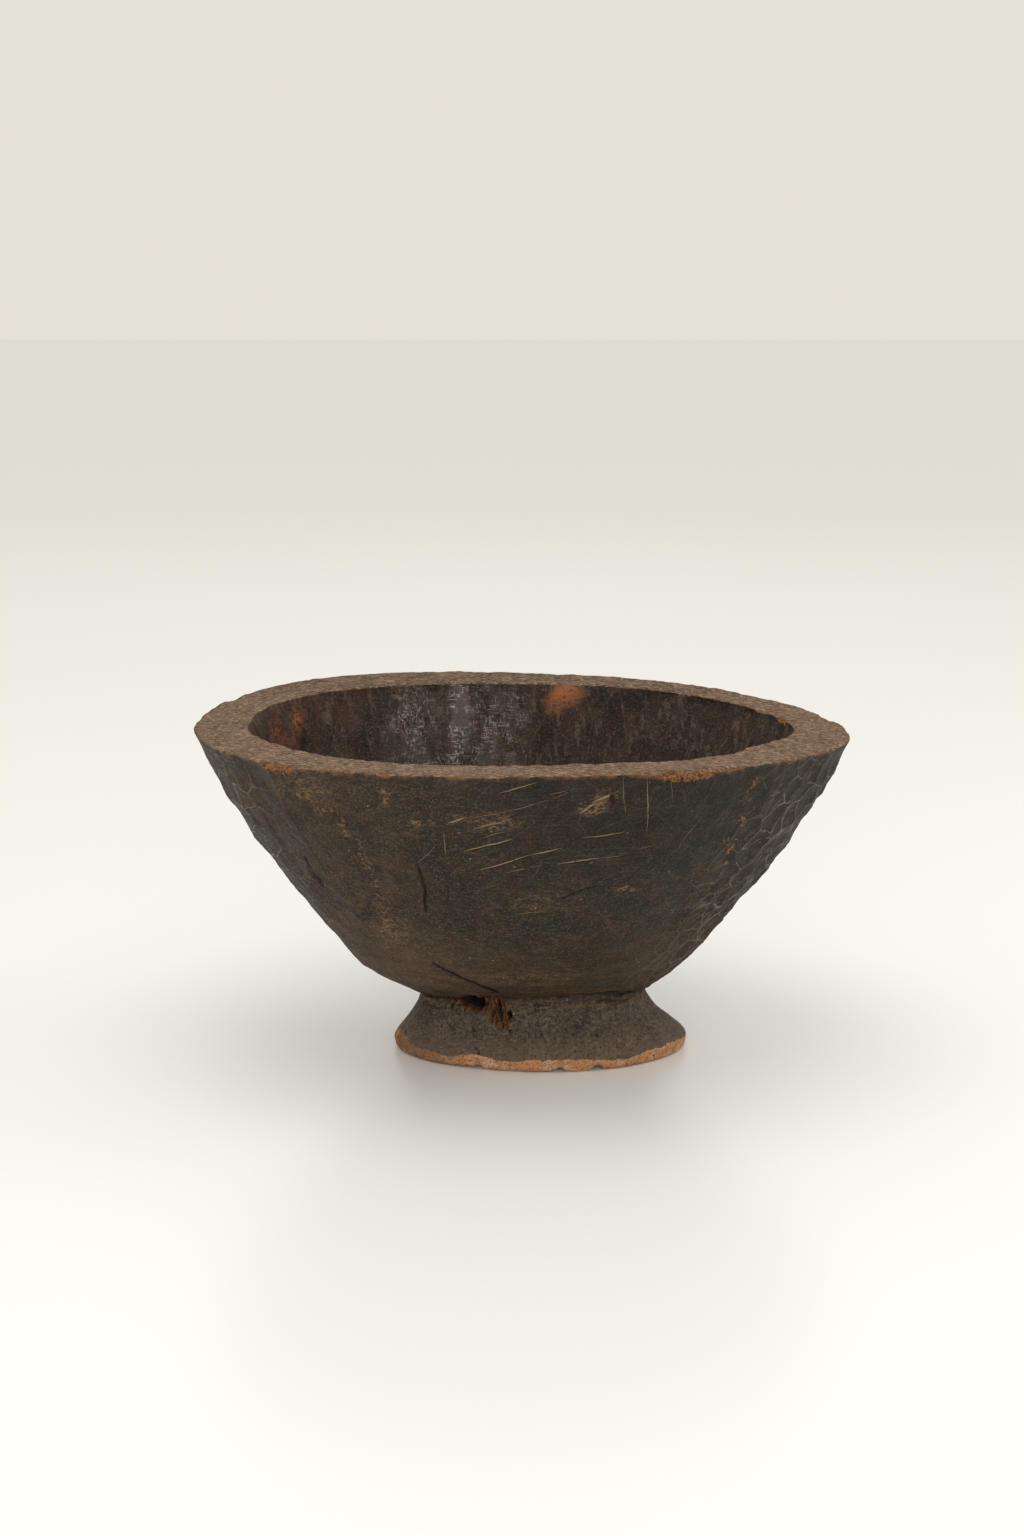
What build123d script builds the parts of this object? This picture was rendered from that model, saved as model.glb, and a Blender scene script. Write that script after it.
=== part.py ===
"""Carved wooden bowl: a deep oval bowl on a low flared foot, all cut from one block of wood.

Frame: +Z up, the foot stands on Z = 0, X runs from tip to tip of the oval, Y from front to back.
The origin lies under the middle of the rim. The foot was cut a little to one side of it.
"""

import math
import os

from build123d import *

# ---- Sizes in millimetres ----------------------------------------------------------------

RIM_HALF_LENGTH = 191.0       # middle of the bowl to the tip of the rim, before its edge is worn
RIM_HALF_DEPTH = 152.6        # middle of the bowl to the front or back of the rim, likewise
RIM_HIGH = 198.0              # height of the rim at the front and the back
RIM_LOW = 189.0               # height of the rim at the two tips, where it dips
RIM_EDGE = 2.0                # how far the two edges of the rim are worn round

FOOT_HALF_LENGTH = 87.5
FOOT_HALF_DEPTH = 54.5
FOOT_EDGE = 2.0               # the foot's bottom edge is worn round by this much
FOOT_SHIFT = 9.4              # the foot's middle lies this far to +X of the bowl's middle

NECK_HEIGHT = 36.0            # the sharp crease between the foot and the bowl
NECK_HALF_LENGTH = 68.6
NECK_HALF_DEPTH = 42.0
NECK_SHIFT = 7.0

HOLLOW_FLOOR = 64.0           # height of the bottom of the hollow
HOLLOW_SHIFT = -5.0           # the hollow is cut nearer the front, so the back wall is thicker

# How pointed the two ends of the oval are: 2 is a true ellipse, less is more pointed.
BLUNT_END = 2.15              # the -X end
SHARP_END = 1.85              # the +X end
OUTLINE_POINTS = 24

# Outside of the bowl from the crease upwards: height, half length, half depth, shift along X.
# The wall rises steeply out of the crease, swings out, then runs nearly straight to the rim.
BOWL_LEVELS = [
    (NECK_HEIGHT, NECK_HALF_LENGTH, NECK_HALF_DEPTH, NECK_SHIFT),
    (46.0, 88.0, 58.0, 2.0),
    (60.0, 103.0, 71.5, 0.0),
    (76.0, 117.0, 84.5, 0.0),
    (104.0, 139.0, 105.5, 0.0),
    (132.0, 159.5, 124.5, 0.0),
    (161.0, 177.5, 139.5, 0.0),
    (RIM_LOW, RIM_HALF_LENGTH, 150.0, 0.0),
    (RIM_HIGH, 195.0, RIM_HALF_DEPTH, 0.0),
    (206.0, 198.0, 154.5, 0.0),
]

# Outside of the foot from the ground up to the crease, in the same order.
FOOT_LEVELS = [
    (0.0, FOOT_HALF_LENGTH - 0.5, FOOT_HALF_DEPTH - 0.5, FOOT_SHIFT),
    (7.0, FOOT_HALF_LENGTH, FOOT_HALF_DEPTH, FOOT_SHIFT),
    (15.0, 81.0, 50.0, 9.0),
    (23.0, 74.5, 45.5, 8.0),
    (NECK_HEIGHT, NECK_HALF_LENGTH, NECK_HALF_DEPTH, NECK_SHIFT),
]

# The hollow from its floor up past the rim, in the same order.
HOLLOW_LEVELS = [
    (HOLLOW_FLOOR, 40.0, 30.0, 0.0),
    (72.0, 64.0, 48.0, 0.0),
    (90.0, 90.0, 68.0, 0.0),
    (120.0, 118.0, 88.0, 0.0),
    (155.0, 140.0, 105.0, 0.0),
    (RIM_HIGH, 159.0, 118.0, 0.0),
    (210.0, 163.0, 121.0, 0.0),
]


# ---- Shapes ------------------------------------------------------------------------------

def oval(height, half_length, half_depth, shift_x, shift_y=0.0):
    """One level line of the carving: an oval with a blunt end at -X and a sharper one at +X."""
    points = []
    for step in range(OUTLINE_POINTS):
        angle = 2.0 * math.pi * step / OUTLINE_POINTS
        along = math.cos(angle)
        across = math.sin(angle)
        blend = 0.5 + 0.5 * along
        power = 2.0 / (BLUNT_END + (SHARP_END - BLUNT_END) * blend)
        x = math.copysign(abs(along) ** power, along) * half_length + shift_x
        y = math.copysign(abs(across) ** power, across) * half_depth + shift_y
        points.append((x, y, height))
    return Face(Wire([Edge.make_spline([Vector(*point) for point in points], periodic=True)]))


def carved_body(levels, shift_y=0.0):
    """A smooth solid through all the level lines."""
    faces = [oval(height, length, depth, shift_x, shift_y) for height, length, depth, shift_x in levels]
    return Solid.make_loft([face.outer_wire() for face in faces], ruled=False)


def waste_above_rim():
    """The wood cut away over the rim. Its underside is a shallow arch: high in the middle, low at the tips."""
    far = 1.25 * RIM_HALF_LENGTH
    dip = (RIM_HIGH - RIM_LOW) * (far / RIM_HALF_LENGTH) ** 2
    with BuildSketch(Plane.XZ) as side:
        with BuildLine():
            ThreePointArc((-far, RIM_HIGH - dip), (0, RIM_HIGH), (far, RIM_HIGH - dip))
            Polyline((far, RIM_HIGH - dip), (far, 260), (-far, 260), (-far, RIM_HIGH - dip))
        make_face()
    return extrude(side.sketch, amount=250, both=True)


# The bowl's outside and the foot meet in the crease. They are one piece of wood.
block = carved_body(BOWL_LEVELS) + carved_body(FOOT_LEVELS)
bowl = block - carved_body(HOLLOW_LEVELS, HOLLOW_SHIFT) - waste_above_rim()

# Long use has rounded the two edges of the rim and the edge the foot stands on.
rim_face = bowl.faces().sort_by(Axis.Z)[-1]
bowl = fillet(rim_face.edges(), RIM_EDGE)
foot_face = bowl.faces().sort_by(Axis.Z)[0]
bowl = fillet(foot_face.edges(), FOOT_EDGE)

carved_bowl = bowl.solids()[0]
carved_bowl.label = "carved_bowl"
carved_bowl.color = Color(0.17, 0.12, 0.09)

box = carved_bowl.bounding_box()
print("size", [round(side, 1) for side in (box.size.X, box.size.Y, box.size.Z)])
print("middle", round(box.center().X, 2), round(box.center().Y, 2), "lowest", round(box.min.Z, 2))
print("solids", len(bowl.solids()), "volume cm3", round(carved_bowl.volume / 1000.0, 1))

os.makedirs("parts", exist_ok=True)
export_step(carved_bowl, "parts/carved_bowl.step")
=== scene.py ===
# %% [markdown]
# # A carved wooden bowl
#
# The real bowl is one block of wood. A carver roughed it out with an adze, hollowed it with a
# gouge, cut a sharp neck above a low foot and left the tool marks standing. Smoke and hands then
# turned it nearly black, and knocks opened raw orange wood along its edges.
#
# We follow the same order: turn a round blank, press it into the oval, cut it with tool marks,
# damage it, and only then colour it. Carving is done in millimetres, as a maker thinks, and they
# become metres when the mesh is written.

import math

import bmesh
import bpy
import numpy as np
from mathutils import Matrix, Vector, noise
from mathutils.kdtree import KDTree


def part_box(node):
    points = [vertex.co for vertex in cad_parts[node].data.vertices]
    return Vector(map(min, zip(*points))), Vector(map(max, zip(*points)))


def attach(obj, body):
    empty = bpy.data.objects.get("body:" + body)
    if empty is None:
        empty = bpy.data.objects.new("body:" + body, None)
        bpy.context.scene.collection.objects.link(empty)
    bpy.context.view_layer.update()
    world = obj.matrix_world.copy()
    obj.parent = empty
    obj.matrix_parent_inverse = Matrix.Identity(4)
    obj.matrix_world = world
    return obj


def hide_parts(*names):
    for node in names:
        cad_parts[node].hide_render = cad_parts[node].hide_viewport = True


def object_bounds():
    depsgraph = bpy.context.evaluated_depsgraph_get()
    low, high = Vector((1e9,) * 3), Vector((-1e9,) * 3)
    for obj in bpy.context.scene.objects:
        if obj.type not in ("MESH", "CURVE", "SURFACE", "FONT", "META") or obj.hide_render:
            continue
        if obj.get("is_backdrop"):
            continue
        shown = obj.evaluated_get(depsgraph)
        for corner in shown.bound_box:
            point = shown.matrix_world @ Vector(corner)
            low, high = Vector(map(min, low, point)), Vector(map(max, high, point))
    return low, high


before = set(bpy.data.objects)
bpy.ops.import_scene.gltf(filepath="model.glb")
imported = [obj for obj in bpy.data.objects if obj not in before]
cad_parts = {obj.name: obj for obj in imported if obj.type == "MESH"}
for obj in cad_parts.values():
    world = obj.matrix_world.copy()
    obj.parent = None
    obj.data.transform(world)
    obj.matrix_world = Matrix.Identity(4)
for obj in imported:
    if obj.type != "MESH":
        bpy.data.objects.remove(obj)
cad_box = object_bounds()

MM = 0.001
low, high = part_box("carved_bowl")
HALF_LONG = (high.x - low.x) / 2 / MM
HALF_DEEP = (high.y - low.y) / 2 / MM
TALL = high.z / MM
print("half sizes and height in mm:", round(HALF_LONG), round(HALF_DEEP), round(TALL))


def put(name, data):
    """A new object in the scene."""
    thing = bpy.data.objects.new(name, data)
    bpy.context.scene.collection.objects.link(thing)
    return thing


# %% [markdown]
# ## Where the viewer stands
#
# A bowl is usually looked at from a little above, so that the rim opens into a narrow oval and
# the neck still shows. A long lens keeps the far rim from shrinking.

# %% Camera
VIEW_DISTANCE = 1.48
VIEW_ASIDE = -0.0064
VIEW_HEIGHT = 0.4916
VIEW_DOWN = 12.32
LONG_SIDE_LENS = 60.94


viewer = bpy.data.cameras.new("viewer")
viewer.sensor_width = 36.0
viewer.lens = LONG_SIDE_LENS
camera = put("viewer", viewer)
camera.location = (VIEW_ASIDE, -VIEW_DISTANCE, VIEW_HEIGHT)
camera.rotation_euler = (math.radians(90.0 - VIEW_DOWN), 0.0, 0.0)
bpy.context.scene.camera = camera
print("camera at", camera.location[:])

# %% [markdown]
# ## Floor and light
#
# Tool marks in dark wood show only in grazing light. A soft lamp hangs overhead, one in front
# lifts the foot out of the bowl's shadow, one skims the right end and one glows behind the rim.

# %% Colours
def shade(red, green, blue):
    """A paint-chart colour, 0 to 255, as linear light."""
    out = []
    for part in (red, green, blue):
        share = part / 255.0
        out.append(share / 12.92 if share <= 0.04045 else ((share + 0.055) / 1.055) ** 2.4)
    return (*out, 1.0)


# %% Floor, room and lamps
def make_floor():
    bm = bmesh.new()
    bmesh.ops.create_grid(bm, x_segments=1, y_segments=1, size=8.0)
    mesh = bpy.data.meshes.new("floor")
    bm.to_mesh(mesh)
    bm.free()
    paint = bpy.data.materials.new("pale_floor")
    paint.use_nodes = True
    shader = paint.node_tree.nodes["Principled BSDF"]
    shader.inputs["Base Color"].default_value = shade(247, 247, 246)
    shader.inputs["Roughness"].default_value = 0.3
    mesh.materials.append(paint)
    floor = put("floor", mesh)
    floor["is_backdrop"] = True


def make_room(colour):
    world = bpy.data.worlds.new("room")
    world.use_nodes = True
    back = world.node_tree.nodes["Background"]
    back.inputs["Color"].default_value = colour
    back.inputs["Strength"].default_value = 1.0
    bpy.context.scene.world = world


def make_lamp(name, place, aim, size, power):
    data = bpy.data.lights.new(name, "AREA")
    data.shape = "RECTANGLE"
    data.size, data.size_y = size
    data.energy = power
    lamp = put(name, data)
    lamp.location = place
    lamp.rotation_euler = (Vector(aim) - Vector(place)).to_track_quat("-Z", "Y").to_euler()


make_floor()
make_room(shade(229, 225, 216))
make_lamp("overhead", (-0.2, -0.2, 1.7), (0.0, 0.0, 0.1), (1.3, 1.0), 6.5)
make_lamp("front_fill", (-0.3, -3.0, 0.9), (0.0, 0.0, 0.05), (2.0, 1.0), 26.0)
make_lamp("right_skim", (1.5, 0.2, 0.7), (0.1, 0.0, 0.1), (0.4, 0.9), 4.0)
make_lamp("back_glow", (0.1, 2.0, 1.25), (0.0, 0.0, 0.0), (2.0, 0.5), 2.5)
bpy.context.scene.view_settings.view_transform = "Standard"
print("lamps", [lamp.name for lamp in bpy.data.lights])

# %% [markdown]
# ## The blank
#
# The surface runs without a break from under the foot, up to the rim, over it and down into the
# hollow. So one profile is spun round the upright axis as on a lathe, and every point remembers
# its row. A cube would have left corners to hide; a spin gives rows that later cuts can follow.

# %% Rows of the profile
# Each stretch and its rows. Visible, busy stretches get the most.
STRETCHES = [("under", 9), ("foot", 33), ("wall", 80), ("rim", 17), ("hollow", 34), ("floor", 5)]
SLICES = 560


def row_shares(stretch, count):
    """How far along its stretch each row lies, from 0 to 1. Rows crowd where an edge is worn."""
    step = np.linspace(0.0, 1.0, count)
    if stretch == "under":
        return step * 0.985
    if stretch == "foot":
        return 0.35 * step + 0.65 * (0.5 - 0.5 * np.cos(np.pi * step))
    if stretch == "wall":
        return np.linspace(0.004, 1.0, count) ** 1.1
    if stretch == "rim":
        return 0.5 - 0.5 * np.cos(np.pi * (step * 0.92 + 0.04))
    if stretch == "hollow":
        return step ** 0.92
    return step * 0.999 + 0.001


row_stretch = np.concatenate([[index] * count for index, (name, count) in enumerate(STRETCHES)])
row_share = np.concatenate([row_shares(name, count) for name, count in STRETCHES])
print("rows", len(row_share))

# %% Spin the blank
AXIS_GAP = 0.0001


def turned_blank():
    """A closed round bowl. Each vertex remembers its row in the profile."""
    radii = (0.45, 0.5, 1.0, 0.8, 0.8, 0.0)
    heights = (0.0, 0.2, 1.0, 1.0, 0.35, 0.33)
    bm = bmesh.new()
    row_layer = bm.verts.layers.int.new("row")
    last = None
    for row, (stretch, share) in enumerate(zip(row_stretch, row_share)):
        before, rise = (radii[stretch - 1], heights[stretch - 1]) if stretch else (0.0, 0.0)
        radius = max(before + (radii[stretch] - before) * share, 0.0)
        height = rise + (heights[stretch] - rise) * share
        # Only the two ends may lie on the axis.
        off_axis = AXIS_GAP if 0 < row < len(row_share) - 1 else 0.0
        vert = bm.verts.new((radius + off_axis, 0.0, height))
        vert[row_layer] = row
        if last is not None:
            bm.edges.new((last, vert))
        last = vert
    bmesh.ops.spin(
        bm, geom=bm.verts[:] + bm.edges[:], cent=(0, 0, 0), axis=(0, 0, 1),
        angle=math.tau, steps=SLICES, use_merge=True,
    )
    bmesh.ops.remove_doubles(bm, verts=bm.verts[:], dist=1e-6)
    bmesh.ops.recalc_face_normals(bm, faces=bm.faces[:])
    return bm


blank = turned_blank()
print("blank:", len(blank.verts), "vertices,", len(blank.faces), "faces")

# %% Read the blank into arrays
bowl_mesh = bpy.data.meshes.new("carved_bowl_wood")
blank.to_mesh(bowl_mesh)
blank.free()
bowl_mesh.shade_smooth()

count = len(bowl_mesh.vertices)
spun = np.empty(count * 3)
bowl_mesh.vertices.foreach_get("co", spun)
spun = spun.reshape(-1, 3)
row = np.empty(count, dtype=np.int32)
bowl_mesh.attributes["row"].data.foreach_get("value", row)

stretch = row_stretch[row]
share = row_share[row]
turn = np.arctan2(spun[:, 1], spun[:, 0])
# The slices crowd a little towards the front, where the eye is closest.
angle = turn - 0.25 * np.cos(turn)
degrees = np.degrees(angle)
under, foot, wall, rim, hollow, floor_of_hollow = (stretch == index for index in range(len(STRETCHES)))
print("vertices on the wall", int(wall.sum()), "of", count)

# %% [markdown]
# ## Pressing it into the oval
#
# The carver's ovals aren't true: the wall is fuller at the back left and flatter at the front
# right. Those habits of the hand are a few gentle swells on short tables of widths.

# %% Smooth tables and swells
def read_curve(stations, values, where):
    """A smooth curve through a few values."""
    stations = np.asarray(stations, dtype=float)
    values = np.asarray(values, dtype=float)
    slopes = np.gradient(values, stations)
    slot = np.clip(np.searchsorted(stations, where, side="right") - 1, 0, len(stations) - 2)
    gap = stations[slot + 1] - stations[slot]
    u = np.clip((where - stations[slot]) / gap, 0.0, 1.0)
    start, end = values[slot], values[slot + 1]
    lift, fall = slopes[slot] * gap, slopes[slot + 1] * gap
    return (
        start * (2 * u**3 - 3 * u**2 + 1) + lift * (u**3 - 2 * u**2 + u)
        + end * (3 * u**2 - 2 * u**3) + fall * (u**3 - u**2)
    )


def away(centre):
    """Degrees from a direction round the bowl, -180 to 180."""
    return (degrees - centre + 180.0) % 360.0 - 180.0


def swell(bumps):
    """Sum of gentle bumps: direction and spread in degrees, amount in mm."""
    total = np.zeros(count)
    for centre, spread, amount in bumps:
        total += amount * np.exp(-0.5 * (away(centre) / spread) ** 2)
    return total


def ease(value, start, end):
    """0 before start, 1 after end and a soft slope between, as a carver blends two cuts."""
    u = np.clip((value - start) / (end - start), 0.0, 1.0)
    return u * u * (3.0 - 2.0 * u)


# Directions: 0 is the right tip, 90 the back, 180 the left tip, -90 the front.
OUTER_SWELLS = [
    (132, 15, 13), (153, 9, 4), (82, 15, -7), (48, 12, -2),
    (14, 8, 1.5), (-31, 15, -7), (-68, 7, 2), (-105, 14, 4.5), (-130, 8, 5), (-168, 9, -3),
]
INNER_SWELLS = [
    (148, 15, 10), (95, 15, -4), (45, 20, 4), (-25, 13, -12), (-105, 22, 5), (-155, 12, -2.5),
]

# %% Heights of the rim and the neck
LEFT_DIP = 4.8
RIGHT_DIP = 9.6
RIM_TOP = TALL + 0.4


def rim_height(x):
    """An arch from tip to tip, lower at the right tip."""
    dip = np.where(x < 0.0, LEFT_DIP, RIGHT_DIP)
    arch = RIM_TOP - dip * (np.abs(x) / HALF_LONG) ** 2
    return arch + swell([(130, 22, 2.3), (-112, 18, -0.6)])


cosine, sine = np.cos(angle), np.sin(angle)
front = np.clip(-sine, 0.0, 1.0)
back = np.clip(sine, 0.0, 1.0)
neck_height = 34.5 + 1.5 * cosine + 7.6 * front**1.5 + 3.0 * back
print("neck from", round(neck_height.min(), 1), "to", round(neck_height.max(), 1), "mm")

# %% Widths, as shares of the rim's own
# Share of the wall's height, of the half length, of the half depth.
WALL_WIDTHS = [
    (0, 0.35, 0.274), (0.02, 0.374, 0.304), (0.068, 0.438, 0.372), (0.161, 0.527, 0.466),
    (0.258, 0.593, 0.551), (0.445, 0.714, 0.687), (0.632, 0.827, 0.812), (0.819, 0.923, 0.912),
    (1, 1, 1),
]
# Share of the neck's height, half length and half depth in mm, middle's place along X.
FOOT_WIDTHS = [
    (0, 82.7, 51.5, 10.3), (0.04, 85.1, 53.6, 10.3), (0.12, 86.1, 54.5, 10.3),
    (0.22, 85.7, 54.2, 10.2), (0.32, 83.2, 52.2, 9.8), (0.44, 79.2, 49.6, 8.6),
    (0.66, 72.4, 45.3, 6.2), (0.88, 67.6, 42.3, 5.6), (1, 66.5, 41.6, 5.5),
]
# Share of the hollow's depth, share of the hollow's own half length and half depth.
HOLLOW_WIDTHS = [(0.0, 1.0), (0.32, 0.885), (0.58, 0.745), (0.81, 0.568), (0.94, 0.404), (1.0, 0.252)]
HOLLOW_HALF_LONG = 158.5
HOLLOW_HALF_DEEP = 118.0
HOLLOW_FLOOR = 64.0
HOLLOW_SHIFT = -5.0


def pressed_wall(part):
    """X and Y of the outside at a share of the wall's height."""
    stations, longs, deeps = zip(*WALL_WIDTHS)
    long = HALF_LONG * read_curve(stations, longs, part) + 0.7
    deep = HALF_DEEP * read_curve(stations, deeps, part)
    reach = np.hypot(HALF_LONG * cosine, HALF_DEEP * sine)
    fuller = 1.0 + swell(OUTER_SWELLS) * part / reach
    shift = 6.2 * (1.0 - ease(part, 0.0, 0.12)) - 0.7
    return long * cosine * fuller + shift, deep * sine * fuller


def pressed_foot(part):
    stations, longs, deeps, shifts = zip(*FOOT_WIDTHS)
    x = read_curve(stations, longs, part) * cosine + read_curve(stations, shifts, part)
    return x, read_curve(stations, deeps, part) * sine


def pressed_hollow(part):
    stations, widths = zip(*HOLLOW_WIDTHS)
    width = read_curve(stations, widths, part)
    reach = np.hypot(HOLLOW_HALF_LONG * cosine, HOLLOW_HALF_DEEP * sine)
    fuller = 1.0 + swell(INNER_SWELLS) * (1.0 - part) / reach
    x = HOLLOW_HALF_LONG * width * cosine * fuller
    return x, HOLLOW_HALF_DEEP * width * sine * fuller + HOLLOW_SHIFT


# %% [markdown]
# ## Broken edges
#
# Wood breaks along its fibres, so a knock on a rim takes a long shallow flake. Flakes come before
# the surface is laid, because they move the edge itself.

# %% Flakes off the rim
# Direction and half width in degrees, depth and reach in mm.
OUTER_FLAKES = [
    (-133, 5, 2.8, 7), (-60.5, 10.5, 2, 5), (-62.5, 5.5, 3.2, 7), (17, 3.5, 3.2, 9),
    (-149, 3, 1.2, 4), (-112, 2.5, 0.9, 3), (-96, 3.5, 0.8, 3), (-82, 3, 0.9, 3),
    (-36, 3, 1.5, 4), (-20, 2.5, 1.2, 4), (66, 5, 1, 4), (118, 4, 1.2, 4),
    (151, 3, 1.4, 5), (172, 3, 1.3, 4), (-176, 2.5, 1.6, 4), (4, 3, 1.6, 5),
]
INNER_FLAKES = [(17, 3.5, 3.6, 6), (28, 3, 1.4, 3), (-60, 5, 0.8, 3), (176, 4, 1.2, 4)]


def wobble(places, size, seed, octaves=3):
    """Smooth random hills between about -1 and 1, whose width is size in mm."""
    offset = Vector((seed * 17.3, seed * -9.1, seed * 5.7))
    scale = 1.0 / size
    fill = [noise.fractal(Vector(place) * scale + offset, 0.9, 2.0, octaves) for place in places]
    return np.clip(np.array(fill) * 1.4, -1.5, 1.5)


edge_line = np.stack([HALF_LONG * cosine, HALF_DEEP * sine, np.zeros(count)], axis=1)
edge_rough = wobble(edge_line, 9.0, 1)
edge_fine = wobble(edge_line, 3.5, 2)


def flake_drop(flakes):
    """How far down and how far in the edge is broken in each direction."""
    drop, reach = np.zeros(count), np.full(count, 2.0)
    for centre, half, depth, inward in flakes:
        inside = 1.0 - np.clip(np.abs(away(centre)) / half, 0.0, 1.0) ** 2
        bite = depth * np.sqrt(np.clip(inside, 0.0, 1.0)) * (0.8 + 0.45 * edge_rough + 0.25 * edge_fine)
        drop = np.maximum(drop, bite * (inside > 0))
        reach = np.where(inside > 0, np.maximum(reach, inward * (0.8 + 0.4 * edge_rough)), reach)
    return drop, reach


outer_drop, outer_reach = flake_drop(OUTER_FLAKES)
inner_drop, inner_reach = flake_drop(INNER_FLAKES)
print("deepest flake", round(outer_drop.max(), 1), "mm")

# %% Lay the base surface
NECK_CUT = 1.3
NECK_CUT_SPREAD = 1.2
FOOT_MIDDLE = 10.3
rim_x, rim_y = pressed_wall(np.ones(count))
lip_x, lip_y = pressed_hollow(np.zeros(count))
rim_width = np.hypot(rim_x - lip_x, rim_y - lip_y)
outer_edge_z = rim_height(rim_x) + 0.35 * edge_rough
inner_edge_z = rim_height(lip_x) + 0.3 * edge_rough - 0.4

place = np.zeros((count, 3))


def creased(x, y, z):
    """Places on the outside, drawn in where the neck is undercut."""
    pull = 1.0 - NECK_CUT * np.exp(-np.abs(z - neck_height) / NECK_CUT_SPREAD) / np.hypot(x, y)
    return np.stack([x * pull, y * pull, z], axis=1)


wall_top = outer_edge_z - 1.0 - outer_drop
wall_z = neck_height + share * (wall_top - neck_height)
place[wall] = creased(*pressed_wall(share), wall_z)[wall]
place[foot] = creased(*pressed_foot(share), share * neck_height)[foot]

ux, uy = pressed_foot(np.zeros(count))
uz = 1.2 * (1.0 - ease(share, 0.2, 0.9))
place[under] = np.stack([(ux - FOOT_MIDDLE) * share + FOOT_MIDDLE, uy * share, uz], axis=1)[under]

from_outer = share * rim_width
from_inner = (1.0 - share) * rim_width
worn = 0.8 * np.exp(-from_outer / 0.8) + 0.7 * np.exp(-from_inner / 0.7)
broken = outer_drop * np.clip(1.0 - from_outer / outer_reach, 0.0, 1.0) ** 1.2
broken += inner_drop * np.clip(1.0 - from_inner / inner_reach, 0.0, 1.0)
rz = outer_edge_z + (inner_edge_z - outer_edge_z) * share - worn - broken
rx = rim_x + (lip_x - rim_x) * share
ry = rim_y + (lip_y - rim_y) * share
place[rim] = np.stack([rx, ry, rz], axis=1)[rim]

hx, hy = pressed_hollow(share)
hollow_top = inner_edge_z - 0.9 - inner_drop
hz = hollow_top + share * (HOLLOW_FLOOR - hollow_top)
place[hollow] = np.stack([hx, hy, hz], axis=1)[hollow]

bx, by = pressed_hollow(np.ones(count))
bz = HOLLOW_FLOOR - 1.5 * (1.0 - (1.0 - share) ** 2)
middle = np.stack([bx * (1 - share), (by - HOLLOW_SHIFT) * (1 - share) + HOLLOW_SHIFT, bz], axis=1)
place[floor_of_hollow] = middle[floor_of_hollow]


def write_places(mesh, millimetres):
    mesh.vertices.foreach_set("co", (millimetres * MM).astype(np.float32).ravel())
    mesh.update()


write_places(bowl_mesh, place)
outward = np.empty(count * 3, dtype=np.float32)
bowl_mesh.vertex_normals.foreach_get("vector", outward)
outward = outward.reshape(-1, 3).astype(float)
print("base spans", np.ptp(place, axis=0).round(1), "mm")

# %% [markdown]
# ## Adze and gouge
#
# An adze leaves shallow scoops with a ridge wherever two meet, and the ridges are painted pale, partly for
# hand wear and partly as a painted highlight.
# Single dents would leave flat land between them, so every vertex asks its nearest cuts how deep
# each one goes and keeps the deepest, as steel does. The runner-up tells where the ridges are.

# %% Overlapping cuts
def overlapping_cuts(across, along, wrap, seed, tilt=0.8):
    """Heights left by a field of cuts one unit apart, in three sets.

    wrap is how many cuts go once round, a multiple of three. Touching cuts belong to different
    sets, so a ridge runs wherever the two lowest sets are level.
    """
    dice = np.random.default_rng(seed)
    lanes = np.arange(math.floor(along.min()) - 1, math.ceil(along.max()) + 2)
    columns, lines = np.meshgrid(np.arange(wrap), lanes)
    sets = ((columns - lines // 2 - lines) % 3).ravel()
    cut_across = (columns + 0.5 * (lines % 2) + dice.uniform(-0.34, 0.34, columns.shape)).ravel() % wrap
    cut_along = (lines + dice.uniform(-0.34, 0.34, columns.shape)).ravel()
    slope_across = dice.uniform(-tilt, tilt, len(cut_across))
    slope_along = dice.uniform(-tilt, tilt, len(cut_across))
    sunk = dice.uniform(-0.14, 0.14, len(cut_across))
    radius = wrap / math.tau
    tree = KDTree(len(cut_across))
    for index, (u, v) in enumerate(zip(cut_across, cut_along)):
        tree.insert((radius * math.cos(u / radius), radius * math.sin(u / radius), v), index)
    tree.balance()
    spots = zip(radius * np.cos(across / radius), radius * np.sin(across / radius), along)
    near = np.array([[hit[1] for hit in tree.find_n(spot, 8)] for spot in spots])
    du = (across[:, None] - cut_across[near] + wrap / 2.0) % wrap - wrap / 2.0
    dv = along[:, None] - cut_along[near]
    height = du**2 + dv**2 + 0.5 * (slope_across[near] * du + slope_along[near] * dv) + sunk[near]
    lowest = [np.where(sets[near] == index, height, 2.0).min(axis=1) for index in range(3)]
    return np.clip(np.stack(lowest, axis=1), -0.5, 2.0)


# %% Where the adze bit deepest
WALL_CUTS, GOUGE_CUTS, FOOT_CUTS = 48, 45, 18
WALL_SLANT = 205.0
CUT_HIGH = 19.0

X, Y, Z = place.T
# The right end was worked with short strokes, the left end with long flat ones.
crowded = angle + 0.3 * np.sin(angle)
around = crowded % math.tau / math.tau * WALL_CUTS
up_wall = share * WALL_SLANT / CUT_HIGH
cuts = np.tile((0.0, 1.0, 2.0), (count, 1))
cuts[wall] = overlapping_cuts(around[wall], up_wall[wall], WALL_CUTS, seed=11)

right_start = 62.0 + (Z - 60.0) * 0.58
left_start = 92.0 + (Z - 60.0) * 0.46
at_right = ease(X, right_start - 14.0, right_start + 26.0)
at_left = ease(-X, left_start - 12.0, left_start + 26.0)
at_back = ease(Y, 10.0, 60.0)
below_rim = 1.0 - 0.75 * ease(share, 0.9, 0.99)
strength = np.maximum.reduce([1.0 * at_right, 0.65 * at_left, 0.55 * at_back]) * below_rim
strength = np.where(wall, 0.12 + 0.88 * strength, 0.0)
print("strongly adzed share of the wall", round(float((strength[wall] > 0.5).mean()), 2))

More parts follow.
